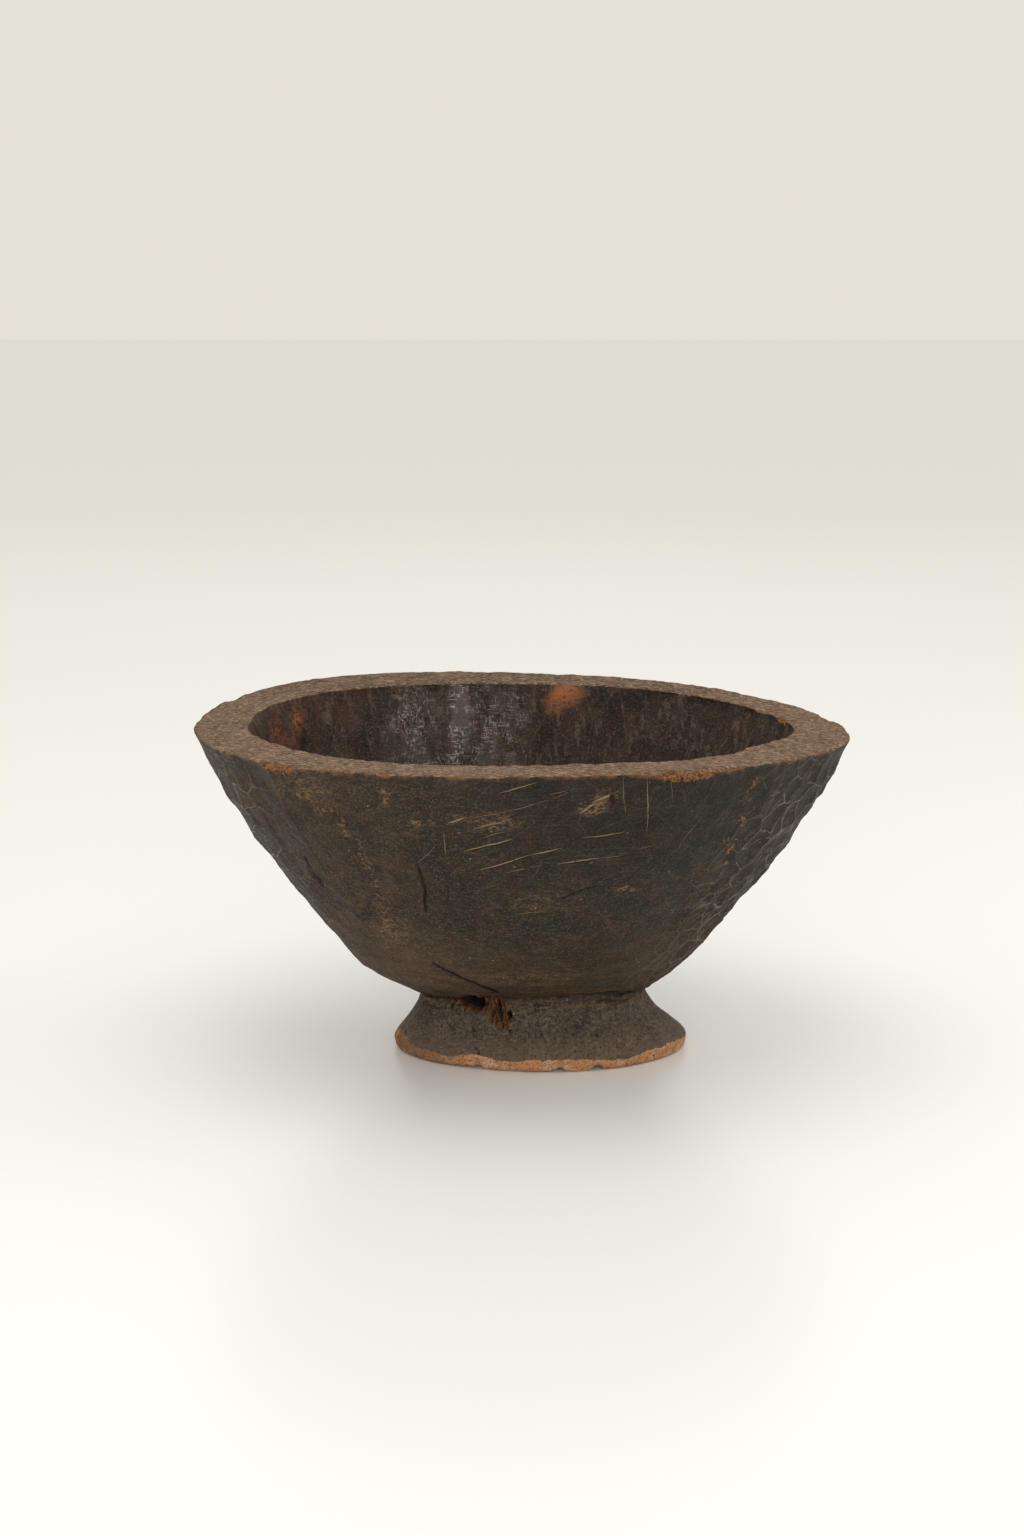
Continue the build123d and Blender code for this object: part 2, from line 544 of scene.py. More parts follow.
# %% Long flats of the gouge inside the hollow, and on the foot
for part, round_it, up, seed, tilt in [(hollow, GOUGE_CUTS, 3.2, 23, 0.4), (foot, FOOT_CUTS, 1.5, 31, 0.9)]:
    across = angle[part] * round_it / math.tau % round_it
    cuts[part] = overlapping_cuts(across, share[part] * up, round_it, seed, tilt)
cut_height = cuts.min(axis=1)
print("cut heights from", round(cut_height.min(), 2), "to", round(cut_height[wall].max(), 2))

# %% [markdown]
# ## Slow unevenness
#
# Nothing on a hand-cut bowl is straight for long. Broad hills bend its outline, some are the size
# of a thumb, and the smallest are torn fibres.

# %% Hills
broad = wobble(place, 70.0, 3, 2)
thumb = wobble(place, 16.0, 4, 3)
fibre = wobble(place * (1.0, 1.0, 0.35), 3.2, 5, 2)
grit = wobble(place, 2.4, 6, 2)

lift = 0.6 * broad + 0.3 * thumb + 0.12 * fibre
above = np.clip(cut_height, -0.2, 0.6) - 0.15
lift[wall] += (4.2 * strength * above)[wall]
lift[hollow] += (3.4 * above)[hollow]
lift[foot] += (2.4 * above * (1.0 - ease(share, 0.8, 1.0)) * ease(share, 0.05, 0.25))[foot]
lift[rim] = (0.35 * thumb + 0.22 * grit)[rim]
lift[under] = (0.3 * thumb)[under] - 0.2

# %% [markdown]
# ## The step, the crack and the eaten pocket
#
# The rim has a small step at the left end, where two passes of the adze didn't meet. A drying
# check runs down the wall into the neck, where beetles have opened a pocket.

# %% Distance to a line, and soft pits
def from_line(u, v, x, z, end_x, end_z):
    """Distance in mm from a line between two places in one plane."""
    du, dv = end_x - x, end_z - z
    part = np.clip(((u - x) * du + (v - z) * dv) / (du * du + dv * dv), 0.0, 1.0)
    return np.hypot(u - x - part * du, v - z - part * dv)


def side_of(u, v, x, z, end_x, end_z):
    """Distance from a line, positive on its left side."""
    du, dv = end_x - x, end_z - z
    return ((v - z) * du - (u - x) * dv) / math.hypot(du, dv)


step_across = side_of(X, Y, -192, 42, -152, -2)
step_share = ease(-X, 125.0, 160.0)
lift[rim] -= (1.1 * ease(step_across, -0.8, 0.8) * step_share)[rim]

outside_front = (wall | foot) & (Y < 0.0)
# Places are X and height on the front; the last two numbers are half width and depth.
CHECKS = [
    (-52, 70, -40, 62, 1, 0.9), (-40, 62, -28, 55, 1.3, 1.6),
    (-28, 55, -15, 46.5, 1.4, 2.2), (-57, 141, -54, 126, 0.9, 0.8),
    (-54, 126, -54, 108, 1, 1), (-122, 136, -119, 128, 0.9, 0.9),
    (-118, 124, -112, 117, 1, 1.1), (21, 119, 38, 127, 0.8, 0.7),
]
check_shade = np.zeros(count)
check_wave = 0.8 * wobble(place, 6.0, 7, 2)
for *ends, half, depth in CHECKS:
    gap = from_line(X + check_wave, Z + check_wave, *ends)
    cut = np.where(outside_front, np.clip(1.0 - gap / (half * 1.5), 0.0, 1.0), 0.0)
    lift -= depth * cut
    check_shade = np.maximum(check_shade, cut)
print("vertices in the checks", int((check_shade > 0.3).sum()))

# %% The pocket and the flight holes
# X, height, half width, half height, depth, and how dark the bottom is painted, as shade.
PITS = [
    (-30.5, 38.6, 4.8, 4.2, 9, 1), (-27.2, 36.4, 3.8, 4.4, 10, 1), (-35.8, 36.4, 2, 2.2, 6, 0.9),
    (-31.5, 36, 5, 4.2, 3, 0), (-39.5, 38, 4.5, 3, 1.6, 0), (-21, 38, 7, 5.4, 3, 0.1),
    (-15.5, 34, 6.5, 7, 3.4, 0), (-11.5, 27.5, 4.2, 4, 2.2, 0), (-15, 35.5, 1.1, 4.8, 6.5, 1),
    (-13.6, 30, 0.9, 3, 5, 0.9), (-18.3, 31.5, 0.9, 2.4, 4.6, 0.8), (-22, 36.5, 1, 1.4, 4.6, 0.9),
    (-8.1, 31.4, 1.4, 2.5, 5, 1), (-41.5, 32.8, 1.2, 1.2, 4, 1), (-29, 21.5, 0.9, 0.9, 4, 1),
    (-7.5, 23, 0.8, 0.8, 3, 0.8), (-26, 10.5, 0.8, 0.8, 3, 0.9), (11, 20.5, 0.8, 0.8, 3, 0.9),
    (43, 18.5, 0.9, 0.9, 3, 0.9), (30, 13, 0.8, 0.8, 2.5, 0.8), (-54, 36, 1, 1, 3, 0.8),
    (47, 183, 1.6, 5, 2, 0.7),
]
pit_wave = 0.6 * wobble(place, 4.0, 8, 2)
pit_depth, pit_shade, pocket = np.zeros(count), np.zeros(count), np.zeros(count)
for px, pz, half_wide, half_high, depth, black in PITS:
    soft = min(1.0, max(0.0, half_wide - 1.0))
    radius = np.hypot((X - px + soft * pit_wave) / half_wide, (Z - pz + soft * pit_wave) / half_high)
    bowl_out = np.where(outside_front, np.clip(1.0 - radius**2, 0.0, 1.0), 0.0)
    pit_depth = np.maximum(pit_depth, depth * np.sqrt(bowl_out))
    pit_shade = np.maximum(pit_shade, black * ease(1.25 - radius, 0.0, 0.45) * outside_front)
    if half_wide > 3.0 and pz < 100.0:
        pocket = np.maximum(pocket, np.where(outside_front, ease(1.35 - radius, 0.0, 0.5), 0.0))
slots = np.sin(X * 2.2 + 0.5 * Z + 2.6 * pit_wave) * pocket
lift += 0.9 * slots * (1.0 - pit_shade)
print("deepest pit", round(pit_depth.max(), 1), "mm")

# %% Cut everything
inward = np.stack([-(X - 7.0), -Y, np.zeros(count)], axis=1)
inward /= np.maximum(np.linalg.norm(inward, axis=1, keepdims=True), 1e-6)
carved = place + outward * lift[:, None] + inward * pit_depth[:, None]

# The foot's edge is nibbled away underneath.
nibble = np.clip(wobble(edge_line * 0.45, 9.0, 9) * 1.2 - 0.25, 0.0, 1.0) * 2.6
at_edge = np.where(foot, 1.0 - ease(share, 0.0, 0.16), 0.0) + np.where(under, ease(share, 0.86, 0.98), 0.0)
carved[:, 2] += nibble * at_edge
carved[:, 2] = np.maximum(carved[:, 2], 0.0)
write_places(bowl_mesh, carved)
print("carved spans", np.ptp(carved, axis=0).round(1), "mm")

# %% [markdown]
# ## Masks
#
# The carving knows why the finish changes: a break is raw, the neck gathers dust. So each reason
# is written on the vertices as a mask between 0 and 1, and the material decides what it looks
# like. A painted image would be blurred up close and lost with the first change of shape.

# %% Write the masks
def write_mask(name, values):
    layer = bowl_mesh.attributes.new(name, "FLOAT", "POINT")
    layer.data.foreach_set("value", np.clip(values, 0.0, 1.0).astype(np.float32))


def patches(where, places):
    """Soft patches: X, Z and half sizes in mm, softness and strength."""
    total = np.zeros(count)
    for x, z, half_x, half_z, soft, weight in places:
        radius = np.hypot((X - x) / half_x, (Z - z) / half_z)
        total = np.maximum(total, weight * (1.0 - ease(radius, 1.0 - soft, 1.0 + soft)))
    return total * where


broken_share = np.clip(broken / 1.6, 0.0, 1.0) * rim
broken_wall = ease(outer_drop, 0.8, 2.5) * ease(share, 0.98, 0.994) * wall
thin_line = 0.62 * np.clip(0.75 + 0.8 * edge_fine, 0.0, 1.0) * front**0.3
front_edge = thin_line * ((1.0 - ease(from_outer, 0.5, 1.8)) * rim + ease(share, 0.988, 0.998) * wall)

band_wave = wobble(edge_line * 0.45, 24.0, 12, 2)
band_top = 7.2 + 1.8 * band_wave + 0.4 * edge_rough
band_top += swell([(180, 20, 6.0), (-88, 13, 1.8), (-40, 10, 1.2)])
lip = (1.0 - ease(carved[:, 2], band_top - 1.0, band_top + 1.0)) * foot
lip = np.maximum(lip, 0.5 * under)

in_hollow = (hollow | floor_of_hollow).astype(float)
back_inside = in_hollow * (Y > 0.0)
dust = patches(outside_front, [
    (-60, 64, 36, 26, 0.6, 1), (-84, 102, 26, 40, 0.7, 0.7), (-42, 42, 26, 9, 0.5, 0.9),
    (-110, 172, 40, 26, 0.8, 0.4), (20, 44, 60, 5, 0.6, 0.5), (60, 18, 16, 9, 0.8, 0.7),
    (-50, 36, 16, 7, 0.7, 0.8),
])
green = patches(outside_front, [
    (62, 138, 40, 56, 0.8, 1), (5, 110, 48, 30, 0.8, 1), (-12, 158, 34, 20, 0.8, 0.8),
    (100, 160, 22, 34, 0.7, 0.7), (-60, 165, 20, 14, 0.8, 0.5),
])
rubbed = patches(outside_front, [
    (-54, 169, 6, 4, 0.5, 0.9), (36, 178, 8, 5, 0.5, 0.8), (44, 184, 7, 4, 0.5, 0.8),
    (-36, 171, 6, 2.4, 0.5, 1), (-15, 170, 13, 5, 0.6, 0.6), (56, 124, 6, 3, 0.5, 0.7),
    (-73.5, 184, 2.4, 5, 0.4, 1), (-74, 92, 9, 9, 0.7, 0.7), (30, 128, 10, 4, 0.7, 0.3),
    (-118, 182, 16, 9, 0.7, 0.5), (8, 118, 24, 8, 0.8, 0.3), (2, 60, 30, 8, 0.8, 0.3),
])
crumb_line = np.zeros(count)
for *ends, wide, weight in [
    (125, 184, 118, 160, 3.5, 0.8), (118, 160, 111, 134, 6, 1),
    (-122, 182, -100, 166, 6, 0.6), (-100, 166, -88, 148, 5, 0.7),
    (-88, 148, -82, 126, 4, 0.6), (-82, 126, -76, 96, 4, 0.5),
]:
    gap = from_line(X, Z, *ends)
    crumb_line = np.maximum(crumb_line, weight * (1.0 - ease(gap, 0.3 * wide, wide)) * outside_front)
gold = patches(outside_front, [
    (-52, 50, 20, 9, 0.6, 0.9), (-44, 40, 16, 4, 0.6, 0.8), (-70, 72, 12, 9, 0.7, 0.6),
    (-8, 45, 12, 5, 0.6, 0.5), (24, 44, 22, 3, 0.6, 0.5),
])
neck_fibre = np.exp(-((carved[:, 2] - neck_height) / 7.5) ** 4) * (wall | foot)
neck_fibre = np.maximum(neck_fibre, 0.3 * wall * (1.0 - ease(share, 0.12, 0.36)))
# Painted shade: the upper front wall is darkened, most towards the right.
painted_shade_top = ease(Z, 95.0, 175.0) * (0.25 + 0.75 * ease(X, -50.0, 25.0)) * wall * (Y < 60.0)
# Painted light: the lower front wall and the bottom of the foot are lightened.
painted_light_low = wall * (1.0 - ease(Z, 55.0, 105.0)) * (1.0 - 0.8 * np.exp(-((X - 15.0) / 45.0) ** 2))
painted_light_low = np.maximum(0.5 * painted_light_low, foot * (1.0 - ease(Z, 8.0, 24.0)))
# Painted shade: a dark band along the neck crease.
painted_crease_shade = np.exp(-np.abs(carved[:, 2] - neck_height) / 1.2) * (wall | foot)
pale = patches(back_inside, [
    (-39, 172, 7, 32, 0.4, 1), (-20, 164, 17, 28, 0.7, 0.6), (-68, 174, 14, 20, 0.7, 0.7),
    (-46, 150, 20, 12, 0.6, 0.6), (-6, 182, 10, 12, 0.6, 0.5),
])
rust = patches(back_inside, [(28, 192, 10, 6, 0.4, 1.0), (20, 186, 6, 6, 0.6, 0.5)])
rust_end = ease(-X, 116.0, 132.0) * ease(Z, 130.0, 165.0) * in_hollow
rust_spots = patches(back_inside, [
    (-137, 185, 3, 6, 0.5, 0.9), (-149, 181, 3, 6, 0.6, 0.6), (-142, 174, 4, 4, 0.6, 0.5),
])
# Painted shade: two dark slots inside the left end.
slot_shade = patches(back_inside, [(-133, 172, 1.6, 6, 0.5, 1.0), (-152, 181, 1.2, 5, 0.5, 0.9)])
soot = patches(back_inside, [(58, 190, 24, 7, 0.6, 1.0)])
# Painted shade: the bottoms of the pits, the insides of the checks and the slots are painted nearly black.
hole_shade = np.maximum.reduce([pit_shade, 0.85 * ease(check_shade, 0.35, 0.9), 0.75 * ease(-slots, 0.35, 0.85)])

MASKS = {
    "end_grain": rim * 1.0, "inside": in_hollow, "foot_skin": foot * 1.0, "edge_line": front_edge,
    "raw_wood": np.maximum.reduce([broken_share, broken_wall, 0.9 * pocket]), "pocket": pocket,
    "step": np.exp(-(step_across / 0.8) ** 2) * step_share * rim, "lip": lip, "gold": gold,
    "cut_strength": strength + 0.35 * at_left * wall + 0.2 * hollow + 0.1 * foot, "dust": dust,
    "green_black": green, "rubbed": rubbed, "crumbs": crumb_line, "neck_fibre": neck_fibre,
    "painted_shade_top": painted_shade_top, "painted_light_low": painted_light_low, "crease": painted_crease_shade, "pale_patch": pale,
    "rust": rust, "rust_end": rust_end, "rust_spots": rust_spots, "soot": soot,
    "hole_shade": np.maximum(hole_shade, 0.9 * slot_shade),
}
for name, values in MASKS.items():
    write_mask(name, values)
cut_layer = bowl_mesh.attributes.new("cuts", "FLOAT_VECTOR", "POINT")
cut_layer.data.foreach_set("vector", cuts.astype(np.float32).ravel())
print("masks", sorted(MASKS))

# %% The finished shape
bowl = put("carved_bowl_wood", bowl_mesh)


def check_closed(mesh):
    """Open edges, volume in cubic centimetres and triangles."""
    bm = bmesh.new()
    bm.from_mesh(mesh)
    open_edges = sum(not edge.is_manifold for edge in bm.edges)
    volume = bm.calc_volume(signed=True) * 1e6
    triangles = sum(len(face.verts) - 2 for face in bm.faces)
    bm.free()
    return open_edges, round(volume), triangles


print("open edges, cubic cm, triangles:", check_closed(bowl_mesh))

# %% [markdown]
# ## Building blocks of the finish
#
# The same few effects come back all over the bowl, so each is a node group, built once. They
# work in millimetres on the bowl's own coordinates and stick to the wood from every side.

# %% Node helpers
def plug(tree, socket, value):
    """Joins an input to another node's output, or simply sets its value."""
    if isinstance(value, bpy.types.NodeSocket):
        tree.links.new(value, socket)
    else:
        socket.default_value = value


def add(tree, kind, inputs=(), **settings):
    """A node with its settings, and its inputs given by name or number."""
    node = tree.nodes.new(kind)
    for name, value in settings.items():
        setattr(node, name, value)
    for name, value in dict(inputs).items():
        plug(tree, node.inputs[name], value)
    return node


def maths(tree, operation, first, second=0.0, third=0.0):
    return add(tree, "ShaderNodeMath", {0: first, 1: second, 2: third}, operation=operation).outputs[0]


def vectors(tree, operation, first, second=(0.0, 0.0, 0.0)):
    return add(tree, "ShaderNodeVectorMath", {0: first, 1: second}, operation=operation).outputs[0]


def stretched(tree, vector, scale):
    inputs = {0: vector, "Scale": scale}
    return add(tree, "ShaderNodeVectorMath", inputs, operation="SCALE").outputs[0]


def soft_step(tree, value, start, end, low_value=0.0, high_value=1.0):
    inputs = {"Value": value, "From Min": start, "From Max": end, "To Min": low_value, "To Max": high_value}
    return add(tree, "ShaderNodeMapRange", inputs, interpolation_type="SMOOTHSTEP").outputs[0]


def blend(tree, mask, below, above):
    """One coat over another where the mask says."""
    node = add(tree, "ShaderNodeMix", {0: mask, 6: below, 7: above}, data_type="RGBA")
    return node.outputs[2]


def new_group(name, vector_inputs, float_inputs, outputs):
    """An empty node group with its sockets."""
    tree = bpy.data.node_groups.new(name, "ShaderNodeTree")
    for labels, side, kind in [
        (vector_inputs, "INPUT", "NodeSocketVector"), (float_inputs, "INPUT", "NodeSocketFloat"),
        (outputs, "OUTPUT", "NodeSocketFloat"),
    ]:
        for label in labels:
            tree.interface.new_socket(label, in_out=side, socket_type=kind)
    return tree, tree.nodes.new("NodeGroupInput").outputs, tree.nodes.new("NodeGroupOutput").inputs


# %% Blotches
def build_blotches():
    """Cloudy patches. Start and End choose how much they cover and how soft they are."""
    floats = ["Size", "Start", "End", "Detail"]
    tree, taken, given = new_group("blotches", ["Place", "Stretch"], floats, ["Mask"])
    place = vectors(tree, "MULTIPLY", taken["Place"], taken["Stretch"])
    scale = maths(tree, "DIVIDE", 1.0, taken["Size"])
    inputs = {"Vector": place, "Scale": scale, "Detail": taken["Detail"], "Roughness": 0.6}
    cloud = add(tree, "ShaderNodeTexNoise", inputs).outputs["Fac"]
    tree.links.new(soft_step(tree, cloud, taken["Start"], taken["End"]), given["Mask"])
    return tree


BLOTCHES = build_blotches()

# %% Grains
def build_grains():
    """Small round grains. Share is how many of the cells hold one."""
    tree, taken, given = new_group("grains", ["Place"], ["Spacing", "Share", "Radius"], ["Mask"])
    scale = maths(tree, "DIVIDE", 1.0, taken["Spacing"])
    cells = add(tree, "ShaderNodeTexVoronoi", {"Vector": taken["Place"], "Scale": scale})
    core = maths(tree, "MULTIPLY", taken["Radius"], 0.4)
    grain = soft_step(tree, cells.outputs["Distance"], taken["Radius"], core)
    red = add(tree, "ShaderNodeSeparateColor", {0: cells.outputs["Color"]}).outputs[0]
    chosen = maths(tree, "LESS_THAN", red, taken["Share"])
    tree.links.new(maths(tree, "MULTIPLY", grain, chosen), given["Mask"])
    return tree


GRAINS = build_grains()

# %% Ridges between cuts
def build_ridges():
    """The thin line where the two lowest cuts are level. Width is in the cuts' own heights."""
    tree, taken, given = new_group("ridges", ["Cuts", "Place"], ["Width"], ["Ridge"])
    first, second, third = add(tree, "ShaderNodeSeparateXYZ", {0: taken["Cuts"]}).outputs
    lowest = maths(tree, "MINIMUM", maths(tree, "MINIMUM", first, second), third)
    highest = maths(tree, "MAXIMUM", maths(tree, "MAXIMUM", first, second), third)
    total = maths(tree, "ADD", maths(tree, "ADD", first, second), third)
    middle = maths(tree, "SUBTRACT", maths(tree, "SUBTRACT", total, lowest), highest)
    gap = maths(tree, "SUBTRACT", middle, lowest)
    waver = add(tree, "ShaderNodeTexNoise", {"Vector": taken["Place"], "Scale": 0.4, "Detail": 3.0})
    wide = maths(tree, "MULTIPLY", taken["Width"], maths(tree, "MULTIPLY", waver.outputs["Fac"], 2.0))
    ridge = soft_step(tree, gap, wide, 0.0)
    tree.links.new(ridge, given["Ridge"])
    return tree


RIDGES = build_ridges()

# %% Knife scratches
def build_scratch():
    """A cut from Start to End: a bright torn edge, and its own thin shadow just below it."""
    ends = ["Place", "Start", "End"]
    tree, taken, given = new_group("scratch", ends, ["Width"], ["Bright", "Dark"])
    waver = add(tree, "ShaderNodeTexNoise", {"Vector": taken["Place"], "Scale": 0.06, "Detail": 3.0})
    centred = vectors(tree, "SUBTRACT", waver.outputs["Color"], (0.5, 0.5, 0.5))
    moved = vectors(tree, "ADD", taken["Place"], stretched(tree, centred, 3.0))
    flat = vectors(tree, "MULTIPLY", vectors(tree, "SUBTRACT", moved, taken["Start"]), (1.0, 0.0, 1.0))
    run = vectors(tree, "SUBTRACT", taken["End"], taken["Start"])
    reach = add(tree, "ShaderNodeVectorMath", {0: flat, 1: run}, operation="DOT_PRODUCT").outputs["Value"]
    length = add(tree, "ShaderNodeVectorMath", {0: run, 1: run}, operation="DOT_PRODUCT").outputs["Value"]
    part = add(tree, "ShaderNodeClamp", {0: maths(tree, "DIVIDE", reach, length)}).outputs[0]
    along = stretched(tree, run, part)
    # The stroke starts thin, swells and runs out thin again.
    belly = maths(tree, "SINE", maths(tree, "MULTIPLY_ADD", part, 2.6, 0.27))
    width = maths(tree, "MULTIPLY", taken["Width"], belly)
    below = add(tree, "ShaderNodeCombineXYZ", {2: maths(tree, "MULTIPLY", width, 1.7)}).outputs[0]
    for name, centre in (("Bright", flat), ("Dark", vectors(tree, "ADD", flat, below))):
        inputs = {0: centre, 1: along}
        gap = add(tree, "ShaderNodeVectorMath", inputs, operation="DISTANCE").outputs["Value"]
        tree.links.new(soft_step(tree, gap, width, maths(tree, "MULTIPLY", width, 0.35)), given[name])
    return tree


SCRATCH = build_scratch()
print("groups", [group.name for group in bpy.data.node_groups])

# %% [markdown]
# ## A mixing board
#
# A coat is a colour and the reasons for it, and it lies where all of them agree. A reason is the
# name of a mask, the numbers of a blotch (size in mm, start, end, stretch, detail), a strength,
# or a mask mixed before. So the recipes below read like notes on a workshop wall.

# %% Mixing board
EVEN = (1.0, 1.0, 1.0)
UPRIGHT = (1.0, 1.0, 0.22)
LEVEL = (0.22, 0.22, 1.6)
FINE = (0.7, 0.7, 1.3)
SHORT = (0.6, 0.6, 1.2)
NECK_GRAIN = (0.1, 0.1, 1.0)
ALONG = (0.4, 1.0, 1.0)


class Finish:
    """A material being mixed, coat over coat."""

    def __init__(self, name):
        self.material = bpy.data.materials.new(name)
        self.material.use_nodes = True
        self.tree = self.material.node_tree
        self.shader = self.tree.nodes["Principled BSDF"]
        self.own = add(self.tree, "ShaderNodeTexCoord").outputs["Object"]
        self.place = stretched(self.tree, self.own, 1000.0)
        self.colour = shade(60, 52, 42)
        self.known = {}

    def mask(self, name):
        if name not in self.known:
            self.known[name] = add(self.tree, "ShaderNodeAttribute", attribute_name=name).outputs["Fac"]
        return self.known[name]

    def group(self, group, **inputs):
        node = add(self.tree, "ShaderNodeGroup", node_tree=group)
        for name, value in inputs.items():
            plug(self.tree, node.inputs[name], value)
        return node.outputs

    def blotch(self, size, start, end, stretch=EVEN, detail=4.0, place=None):
        place = place or self.place
        inputs = dict(Place=place, Size=size, Start=start, End=end, Stretch=stretch, Detail=detail)
        return self.group(BLOTCHES, **inputs)[0]

    def leaning(self, degrees):
        """The place turned in the plane of the front, for strokes that lean."""
        inputs = {"Vector": self.place, "Angle": math.radians(degrees)}
        return add(self.tree, "ShaderNodeVectorRotate", inputs, rotation_type="Y_AXIS").outputs[0]

    def grain(self, spacing, share, radius):
        return self.group(GRAINS, Place=self.place, Spacing=spacing, Share=share, Radius=radius)[0]

    def reason(self, given):
        if isinstance(given, str):
            return self.mask(given)
        return self.blotch(*given) if isinstance(given, tuple) else given

    def times(self, *given):
        total, *others = [self.reason(one) for one in given]
        for other in others:
            total = maths(self.tree, "MULTIPLY", total, other)
        return total

    def most(self, first, second):
        return maths(self.tree, "MAXIMUM", self.reason(first), self.reason(second))

    def coats(self, recipes):
        """Lays each colour over what is there, as far as its reasons allow."""
        for colour, *reasons in recipes:
            self.colour = blend(self.tree, self.times(*reasons), self.colour, shade(*colour))


wood = Finish("smoked_wood")
tree = wood.tree
cuts_here = add(tree, "ShaderNodeAttribute", attribute_name="cuts").outputs["Vector"]
ridge = wood.times(wood.group(RIDGES, Cuts=cuts_here, Place=wood.place, Width=0.07)[0], "cut_strength")
on_wall = maths(tree, "SUBTRACT", 1.0, wood.mask("inside"))
print("mixing", wood.material.name)

# %% [markdown]
# ## The smoked outside
#
# Years by a hearth leave a nearly black coat, browner where hands rubbed it and greenish where
# soot lies thick. Up close it is a crust of fine grains with bare pores between them.

# %% Outside
wood.colour = shade(41, 34, 26)
wood.coats([
    ((55, 46, 36), (42, 0.42, 0.6)),
    ((30, 25, 19), (13, 0.47, 0.62, UPRIGHT), 0.65),
    ((62, 43, 31), (20, 0.5, 0.6), 0.6),
    ((36, 37, 28), "green_black", (22, 0.4, 0.52), 0.9),
    ((80, 61, 44), "dust", (10, 0.42, 0.58), 0.65),
    ((104, 78, 52), "gold", (5, 0.42, 0.58, LEVEL), 0.7),
    ((80, 70, 62), "foot_skin", 0.8),
    ((102, 90, 80), "foot_skin", (16, 0.46, 0.6), 0.6),
    ((50, 40, 33), "foot_skin", (8, 0.5, 0.62), 0.6),
    ((56, 41, 29), "neck_fibre", 0.7),
])
print("ground coats laid")

# %% The crust on it
crumbs = wood.times(wood.most("crumbs", wood.times("dust", 0.35)), (7.0, 0.46, 0.56))
neck_streaks = wood.times("neck_fibre", (16.0, 0.36, 0.52))
wood.coats([
    ((70, 59, 47), (3.4, 0.48, 0.64, FINE), 0.4),
    ((84, 71, 56), (2.4, 0.5, 0.62, LEVEL), (26, 0.46, 0.58), 0.5),
    ((24, 20, 15), (2.2, 0.52, 0.62, UPRIGHT), (30, 0.46, 0.6), 0.5),
    ((22, 18, 13), (1.3, 0.5, 0.62, EVEN, 2), 0.7),
    ((112, 96, 78), (1.2, 0.54, 0.66, EVEN, 2), 0.45),
    ((150, 130, 104), wood.grain(6, 0.26, 0.13), 0.8),
    # painted shade on the upper front wall
    ((24, 20, 14), "painted_shade_top", 0.55),
    # painted light on the lower wall and the foot
    ((112, 94, 76), "painted_light_low", 0.4),
    ((142, 108, 72), crumbs, (1.7, 0.5, 0.58, EVEN, 2), 0.8),
    ((98, 74, 52), neck_streaks, (2.2, 0.49, 0.57, NECK_GRAIN, 3), 0.8),
    ((20, 14, 10), neck_streaks, (2.6, 0.5, 0.57, NECK_GRAIN, 3), 0.9),
    ((112, 98, 84), "foot_skin", (2.4, 0.55, 0.64, SHORT, 3), 0.5),
    ((28, 21, 16), "foot_skin", (2, 0.57, 0.66, EVEN, 3), 0.6),
    ((140, 110, 82), "rubbed", (5, 0.42, 0.56, FINE), (1.5, 0.42, 0.56, FINE, 2), 0.8),
])

# %% Tool ends, and rubbed ridges painted pale: partly wear, partly a painted highlight
torn = wood.blotch(2.2, 0.51, 0.6, (0.16, 0.3, 1.0), 3.0, wood.leaning(32.0))
tear = wood.times(torn, (16.0, 0.44, 0.58))
# The pale ridge colour is partly wear and partly a painted highlight.
worn = wood.times(ridge, (8.0, 0.36, 0.54))
wood.coats([
    ((98, 90, 78), tear, "cut_strength", on_wall, 0.55),
    ((126, 117, 102), worn, 0.8),
])

# %% [markdown]
# ## The hollow
#
# Inside, the wood is red brown. Part of the back wall carries a chalky residue, scraped both ways,
# so it is cross-hatched. Two places have worn through to orange wood.

# %% Hollow
hatch = wood.most((0.9, 0.53, 0.66, (1.0, 1.0, 0.16), 2.0), (0.9, 0.55, 0.66, (0.18, 0.18, 1.0), 2.0))
hatch = wood.times(hatch, (7.0, 0.38, 0.56, (1.0, 1.0, 0.6)))
outside = wood.colour
wood.colour = shade(46, 36, 29)
wood.coats([
    ((62, 49, 40), (10, 0.42, 0.62, UPRIGHT)),
    ((70, 46, 34), (26, 0.46, 0.62), 0.5),
    ((34, 27, 23), (6, 0.5, 0.56, (1, 1, 0.12), 3), 0.5),
    ((94, 81, 72), (4, 0.54, 0.6, (1, 1, 0.16), 3), (20, 0.4, 0.56), 0.6),
    ((24, 18, 14), (1.2, 0.5, 0.66, (1, 1, 0.5), 2), 0.5),
    ((106, 88, 73), (1.4, 0.54, 0.68, EVEN, 2), 0.5),
    ((96, 89, 84), "pale_patch", (12, 0.36, 0.58, UPRIGHT), 0.7),
    ((170, 164, 158), "pale_patch", hatch, 0.9),
    ((160, 98, 58), "rust", (3, 0.28, 0.5), 0.95),
    ((66, 38, 24), "rust_end", (8, 0.36, 0.54), 0.6),
    ((92, 56, 33), "rust_end", (5, 0.5, 0.64, UPRIGHT), 0.5),
    ((146, 88, 50), "rust_spots", (3, 0.42, 0.54), 0.8),
    ((30, 20, 15), "rust_end", (2, 0.51, 0.6, EVEN, 3), 0.6),
    ((22, 20, 20), "soot", (3, 0.36, 0.56), 0.8),
    # pale ridges inside: partly wear, partly a painted highlight
    ((100, 88, 79), ridge, 0.9),
])
wood.colour = blend(tree, wood.mask("inside"), outside, wood.colour)

# %% [markdown]
# ## Rim, raw breaks and the worn lip
#
# Hands kept the rim cleaner. Its open grain is a mass of fine pits and pale fibre ends. Broken
# edges show the wood's own orange brown, and so does the foot's edge, rubbed round on stone.

